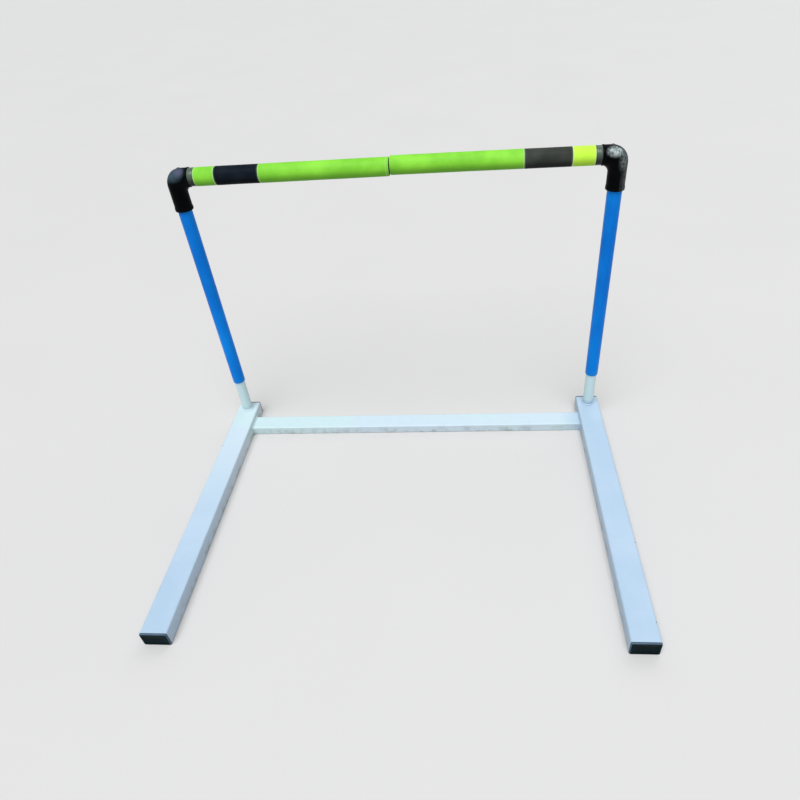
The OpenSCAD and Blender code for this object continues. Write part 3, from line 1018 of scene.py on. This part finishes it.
# %% Elbow rings
elbow_low, elbow_high = left_span("left_elbow")
sleeve_low, sleeve_high = left_span("left_sleeve")
BEAD_RISE = 0.0008
BAR_LEG = elbow_high.y - BEAD_RISE
UPRIGHT_LEG = BAR_LEG - 0.001
REACH = elbow_high.x
CORNER_RADIUS = 0.038
MOUTH_Z = elbow_low.z
SLEEVE_RADIUS = (sleeve_high.x - sleeve_low.x) / 2
SOCKET_ROOF = sleeve_high.z
SOCKET_START = tube_low.x
PARTING, PARTING_SPREAD = 0.00022, (-0.022, -0.010, 0.010, 0.022)
UPRIGHT_BEAD, BAR_BEAD = 0.009, 0.005
INNER_SWEEP, OUTER_SWEEP = math.radians(66), math.radians(83)
BEND_STEPS = 28

# Angles round a ring, with extra ones beside the mould line at 0 and at half a turn.
TURNS = [2 * math.pi * i / ROUND_STEPS for i in range(ROUND_STEPS)]
TURNS += [centre + beside for centre in (0, math.pi) for beside in PARTING_SPREAD]
TURNS = sorted(turn % (2 * math.pi) for turn in TURNS)


def mould_line(turn):
    """How far the parting line stands up at this angle."""
    off_line = min(abs(math.sin(turn / 2)), abs(math.cos(turn / 2)))
    return PARTING if off_line < PARTING_SPREAD[-1] / 4 else 0.0


def leg_ring(radius, edge, line, place):
    """A ring of the elbow; place turns the two distances from its axis into a point."""
    reach = [radius + (mould_line(turn) if line else 0.0) for turn in TURNS]
    return ring([place(r * math.cos(turn), r * math.sin(turn)) for r, turn in zip(reach, TURNS)], edge)


def upright_ring(radius, z, edge=0.0, line=True):
    """A ring round the post's axis; angle 0 is the outer side."""
    return leg_ring(radius, edge, line, lambda out, across: Vector((-out, across, z)))


def level_ring(radius, x, edge=0.0, line=True):
    """A ring round the bar's axis; angle 0 is on top."""
    return leg_ring(radius, edge, line, lambda up, across: Vector((x, across, BAR_HEIGHT + up)))


def outer_distance(angle):
    """From the fillet's centre to the outer corner, along a plane at this angle."""
    out, up = REACH + UPRIGHT_LEG, REACH + BAR_LEG
    direction = Vector((math.cos(angle), math.sin(angle)))
    if direction.y * out / direction.x <= up - CORNER_RADIUS:
        return out / direction.x
    if direction.x * up / direction.y <= out - CORNER_RADIUS:
        return up / direction.y
    centre = Vector((out - CORNER_RADIUS, up - CORNER_RADIUS))
    along = direction.dot(centre)
    return along + math.sqrt(along**2 - (centre.length_squared - CORNER_RADIUS**2))


def bend_ring(share):
    """A ring in the bend: 0 stands on the upright leg, 1 would stand behind the bar's bead."""
    inner_turn, outer_turn = share * INNER_SWEEP, share * OUTER_SWEEP
    centre = Vector((REACH, 0, BAR_HEIGHT - REACH))
    leg = UPRIGHT_LEG + (BAR_LEG - UPRIGHT_LEG) * share
    inner = Vector((-math.cos(inner_turn), 0, math.sin(inner_turn))) * (REACH - leg)
    outer = Vector((-math.cos(outer_turn), 0, math.sin(outer_turn))) * outer_distance(outer_turn)
    across = (outer - inner) / 2
    points = []
    for turn in TURNS:
        grow = mould_line(turn)
        out = across * (1 + grow / across.length) * math.cos(turn)
        points.append(centre + (inner + outer) / 2 + out + Vector((0, (leg + grow) * math.sin(turn), 0)))
    return ring(points)


# %% Elbow bodies
def mouth_rings(make, at, inward, bore, leg, bead_width):
    """Out of a socket, round its lip and over its bead, back to the plain leg."""
    steps = (
        (bore, 0.0020, 0.0),
        (bore + 0.0002, 0.0008, 0.3),
        (bore + 0.0010, 0.0, 1.0),
        (leg - 0.0004, 0.0, 1.0),
        (leg + BEAD_RISE * 0.6, 0.0005, 1.0),
        (leg + BEAD_RISE, 0.0016, 0.9),
        (leg + BEAD_RISE, bead_width - 0.0026, 0.6),
        (leg + BEAD_RISE * 0.6, bead_width - 0.0010, 0.3),
        (leg + BEAD_RISE * 0.12, bead_width - 0.0001, 0.0),
        (leg, bead_width + 0.0012, 0.0),
    )
    return [make(radius, at + inward * depth, edge) for radius, depth, edge in steps]


def elbow_rings():
    rings = [pole(0, SOCKET_ROOF), upright_ring(SLEEVE_RADIUS, SOCKET_ROOF, line=False)]
    rings += mouth_rings(upright_ring, MOUTH_Z, 1, SLEEVE_RADIUS, UPRIGHT_LEG, UPRIGHT_BEAD)
    leg_foot, bend_foot = MOUTH_Z + UPRIGHT_BEAD + 0.003, BAR_HEIGHT - REACH
    rings += [upright_ring(UPRIGHT_LEG, leg_foot + (bend_foot - leg_foot) * i / 5) for i in range(5)]
    rings += [bend_ring(i / BEND_STEPS) for i in range(BEND_STEPS)]
    rings += reversed(mouth_rings(level_ring, REACH, -1, tube_radius, BAR_LEG, BAR_BEAD))
    return rings + [level_ring(tube_radius, SOCKET_START, line=False), pole(SOCKET_START, BAR_HEIGHT)]


# %% [markdown]
# ## Screw seats and screws
#
# A flat seat is milled into the top of the elbow for the screw that pins the bar tube. It is
# the one shape here that rings cannot make, so a Boolean cuts it. The screw has a domed head
# with a cross slot, and its thread is a small ridge swept along a spiral by Geometry Nodes.

# %% Cut the seats
screw_low, screw_high = left_span("left_elbow_screw")
SCREW_X = (screw_low.x + screw_high.x) / 2
HEAD_RADIUS = (screw_high.x - screw_low.x) / 2
HEAD_HEIGHT = 0.003
SHANK_RADIUS = 0.002
CORE_RADIUS = SHANK_RADIUS * 0.8
SEAT_Z = screw_high.z - HEAD_HEIGHT
SEAT_GAP, HOLE_DEPTH, CLEAR_ABOVE = 0.0005, 0.008, 0.02


def cut_away(piece, cutters, material):
    """Subtracts the cutters from a piece, and removes them."""
    for cutter in cutters:
        modifier = piece.modifiers.new("cut", "BOOLEAN")
        modifier.operation = "DIFFERENCE"
        modifier.solver = "EXACT"
        modifier.object = cutter
    name = piece.name
    return finish_mesh(name, evaluated_mesh(piece, *cutters), material)


def screw_stand(side):
    return arm_place[side] @ Matrix.Translation((SCREW_X, 0, 0))


for side in SIDES:
    elbow = skin(f"{side}_moulded_elbow", elbow_rings(), elbow_black, False, arm_place[side])
    cutters = []
    for radius, floor in ((HEAD_RADIUS + SEAT_GAP, SEAT_Z), (SHANK_RADIUS, SEAT_Z - HOLE_DEPTH)):
        walk = [(0, floor), (radius, floor), (radius, SEAT_Z + CLEAR_ABOVE), (0, SEAT_Z + CLEAR_ABOVE)]
        cutters.append(turned("cutter", walk, elbow_black, False, screw_stand(side)))
    elbow = cut_away(elbow, cutters, elbow_black)
    put_on(elbow, f"{side}_arm", f"{side}_elbow")


# %% Screw
SLOT_TURN, SHARP_ON_SCREW = 0.6, math.radians(35)


def thread_tree(material):
    """Geometry Nodes: a ridge along a spiral, for a screw thread."""
    sizes = {"Core Radius": CORE_RADIUS, "Ridge": 0.0004, "Length": 0.007, "Turns": 6.0}
    tree, wire = new_tree("screw_thread", sizes)
    coil = {"Resolution": 28, "Rotations": wire["Turns"], "Height": wire["Length"]}
    coil.update({"Start Radius": wire["Core Radius"], "End Radius": wire["Core Radius"]})
    spiral = node(tree, "GeometryNodeCurveSpiral", None, coil)
    ridge = {"Curve": spiral, "Profile Curve": round_section(tree, 6, wire["Ridge"]), "Fill Caps": True}
    swept = node(tree, "GeometryNodeCurveToMesh", None, ridge)
    both = tree.nodes.new("GeometryNodeJoinGeometry")
    for part in (swept, wire["Geometry"]):
        tree.links.new(part.socket, both.inputs[0])
    return end_tree(tree, Wire(tree, both.outputs[0]), material)


def screw_profile():
    """Tip, core, flat underside and domed head."""
    walk = [(0, screw_low.z), (CORE_RADIUS, screw_low.z + 0.002), (CORE_RADIUS, SEAT_Z)]
    walk += [(HEAD_RADIUS, SEAT_Z, 1)]
    for angle in (0, 0.35, 0.7, 1.0, 1.3):
        walk.append((HEAD_RADIUS * math.cos(angle), SEAT_Z + 0.0012 + 0.0018 * math.sin(angle), 0.8))
    return walk + [(0, screw_high.z, 0.2)]


def slot_cutter(turn):
    """A bar that sinks half of the cross slot into the head."""
    long_side, short_side = HEAD_RADIUS * 0.62, 0.0006
    floor, top = screw_high.z - 0.0015, screw_high.z + 0.002
    outline = [(long_side * x, short_side * y) for x, y in ((-1, -1), (1, -1), (1, 1), (-1, 1))]
    rings = [ring([Vector((x, y, z)) for x, y in outline]) for z in (floor, top)]
    rings = [pole(0, floor), *rings, pole(0, top)]
    return skin("slot", rings, screw_steel, False, Matrix.Rotation(turn, 4, "Z"))


spiral_tree = thread_tree(screw_steel)
for side in SIDES:
    screw = turned("screw_blank", screw_profile(), screw_steel, False)
    screw = cut_away(screw, [slot_cutter(0), slot_cutter(math.pi / 2)], screw_steel)
    blank = screw.data
    lift = screw_low.z + 0.0015
    blank.transform(Matrix.Translation((0, 0, -lift)))
    inputs = {"Core Radius": CORE_RADIUS, "Length": SEAT_Z - lift - 0.0005}
    bpy.data.objects.remove(screw)
    screw = run_tree(f"{side}_pan_screw", spiral_tree, blank, inputs, screw_steel)
    place = screw_stand(side) @ Matrix.Rotation(SLOT_TURN, 4, "Z")
    screw.data.transform(place @ Matrix.Translation((0, 0, lift)))
    screw.data.set_sharp_from_angle(angle=SHARP_ON_SCREW)
    put_on(screw, f"{side}_arm", f"{side}_elbow_screw")

# %% [markdown]
# ## Bar tubes, collars and plugs
#
# The tube runs from deep in the elbow to the plug at the middle. A glossy collar beside the
# elbow holds the first band back, and is almost as thick as the foam. The plug's flange is
# dished and its stem carries ribs that grip the tube, and those ribs repeat round the stem.

# %% Bar tubes, collars and plugs
TUBE_WALL = 0.002
plug_low, plug_high = left_span("left_bar_plug")
RIB_COUNT = 10
TUBE_EDGE, COLLAR_EDGE = 0.0004, 0.0012


def plug_ring(radius, at, edge=0.0, rib=0.0):
    """A ring of the plug about Z; rib lets ten shallow ribs stand out of it."""
    if radius and rib:
        return ring(circle(lambda t: radius + rib * max(0.0, math.cos(t * RIB_COUNT)) ** 6, at), edge)
    return ring(circle(radius, at), edge)


def bar_plug(name, place):
    stem = tube_radius - TUBE_WALL - 0.0006
    inside, face, back = plug_low.x, plug_high.x, tube_high.x
    walk = [(0, back - 0.001), (stem - 0.003, back - 0.001), (stem - 0.003, inside)]
    walk += [(stem - 0.0008, inside, 0.3)]
    walk += [(stem, inside + 0.0015, 0, 0.0003), (stem, back, 0, 0.0005), (tube_radius - 0.0003, back, 0.3)]
    walk += [(tube_radius, back + 0.0004, 0.1), (tube_radius, face - 0.0008, 0.2)]
    walk += [(tube_radius - 0.0008, face, 0.2), (tube_radius * 0.72, face, 0.1)]
    walk += [(tube_radius * 0.66, face - 0.0006), (0, face - 0.0006)]
    return skin(name, [plug_ring(*step) for step in walk], cap_black, False, place)


for side in SIDES:
    lie = arm_place[side] @ on_bar(BAR_HEIGHT)
    profile = tube_profile(tube_radius, tube_radius - TUBE_WALL, tube_low.x, tube_high.x, TUBE_EDGE)
    tube = turned(f"{side}_inner_tube", profile, tube_dark, True, lie)
    put_on(tube, f"{side}_arm", f"{side}_bar_tube")
    low, high = left_span("left_collar")
    profile = tube_profile((high.z - low.z) / 2, tube_radius, low.x, high.x, COLLAR_EDGE, 0.004)
    collar = turned(f"{side}_band_collar", profile, tube_dark, True, lie)
    put_on(collar, f"{side}_arm", f"{side}_collar")
    plug = bar_plug(f"{side}_tube_plug", lie)
    put_on(plug, f"{side}_arm", f"{side}_bar_plug")

# %% [markdown]
# ## Foam bands
#
# Foam that is pulled over a tube is never quite round. The bands start as tubes and are then
# nudged by slow noise, at most a quarter of a millimetre, and squeezed a little at each end,
# where the cut edge curls in. The `cut` value marks the end faces for their paler colour.

# %% Foam bands
FOAM_EDGE = 0.0011
FOAM_STEP = 0.004
SWELL = 0.00022
CREASE_FROM_SEAM = 0.006
SEAM_RIM = 0.25


def foam_ring(radius, at, cut, seed, swell=SWELL):
    """A ring of foam about Z, pushed in and out by slow noise."""

    def swollen(turn):
        place = Vector((math.cos(turn) * 1.3 + seed, math.sin(turn) * 1.3, at * 22))
        return radius + swell * noise.noise(place)

    return ring(circle(swollen, at), 0.0, cut)


def foam_band(name, start, stop, outer, material, place, seed, rim, crease):
    """A foam tube along the bar. rim pales its far end; crease marks a fold near that end."""
    lip = ((FOAM_EDGE, 0.0, 1.0), (FOAM_EDGE * 0.35, FOAM_EDGE * 0.35, 0.9), (0.0001, FOAM_EDGE, 0.7))
    near_end = [foam_ring(outer - sink, start + along, pale, seed) for sink, along, pale in lip]
    far_end = [foam_ring(outer - sink, stop - along, pale * rim, seed) for sink, along, pale in lip]
    first, last = start + 0.003, stop - 0.003
    count = max(2, round((last - first) / FOAM_STEP))
    body = [foam_ring(outer, first + (last - first) * i / count, 0, seed) for i in range(count + 1)]
    if crease:
        at = stop - CREASE_FROM_SEAM
        marks = ((-0.0012, 0, 0), (-0.0004, 0.00025, 0.45), (0.0004, 0.00025, 0.45), (0.0012, 0, 0))
        body += [foam_ring(outer - sink, at + along, pale, seed) for along, sink, pale in marks]
        body.sort(key=lambda one: one["points"][0].z)
    ends = [foam_ring(tube_radius, start, 1, seed, 0), foam_ring(tube_radius, stop, rim, seed, 0)]
    return skin(name, [ends[0], *near_end, *body, *reversed(far_end), ends[1]], material, True, place)


BANDS = (
    ("outer_band", "short_green_foam", {"left": "green", "right": "lime"}, "green_foam"),
    ("black_band", "black_foam_band", {"left": "black", "right": "grey"}, "black_foam"),
    ("long_band", "long_green_foam", {"left": "green", "right": "green"}, "green_foam"),
)
for side in SIDES:
    for number, (node_name, label, shades, slot) in enumerate(BANDS):
        low, high = left_span(f"left_{node_name}")
        at_seam = node_name == "long_band"
        band = foam_band(
            f"{side}_{label}",
            *(low.x, high.x, (high.z - low.z) / 2),
            foams[shades[side]],
            arm_place[side] @ on_bar(BAR_HEIGHT),
            seed=3.7 * number + (11 if side == "right" else 0),
            rim=SEAM_RIM if at_seam else 1.0,
            crease=at_seam and side == "left",
        )
        put_on(band, f"{side}_arm", f"{side}_{node_name}")
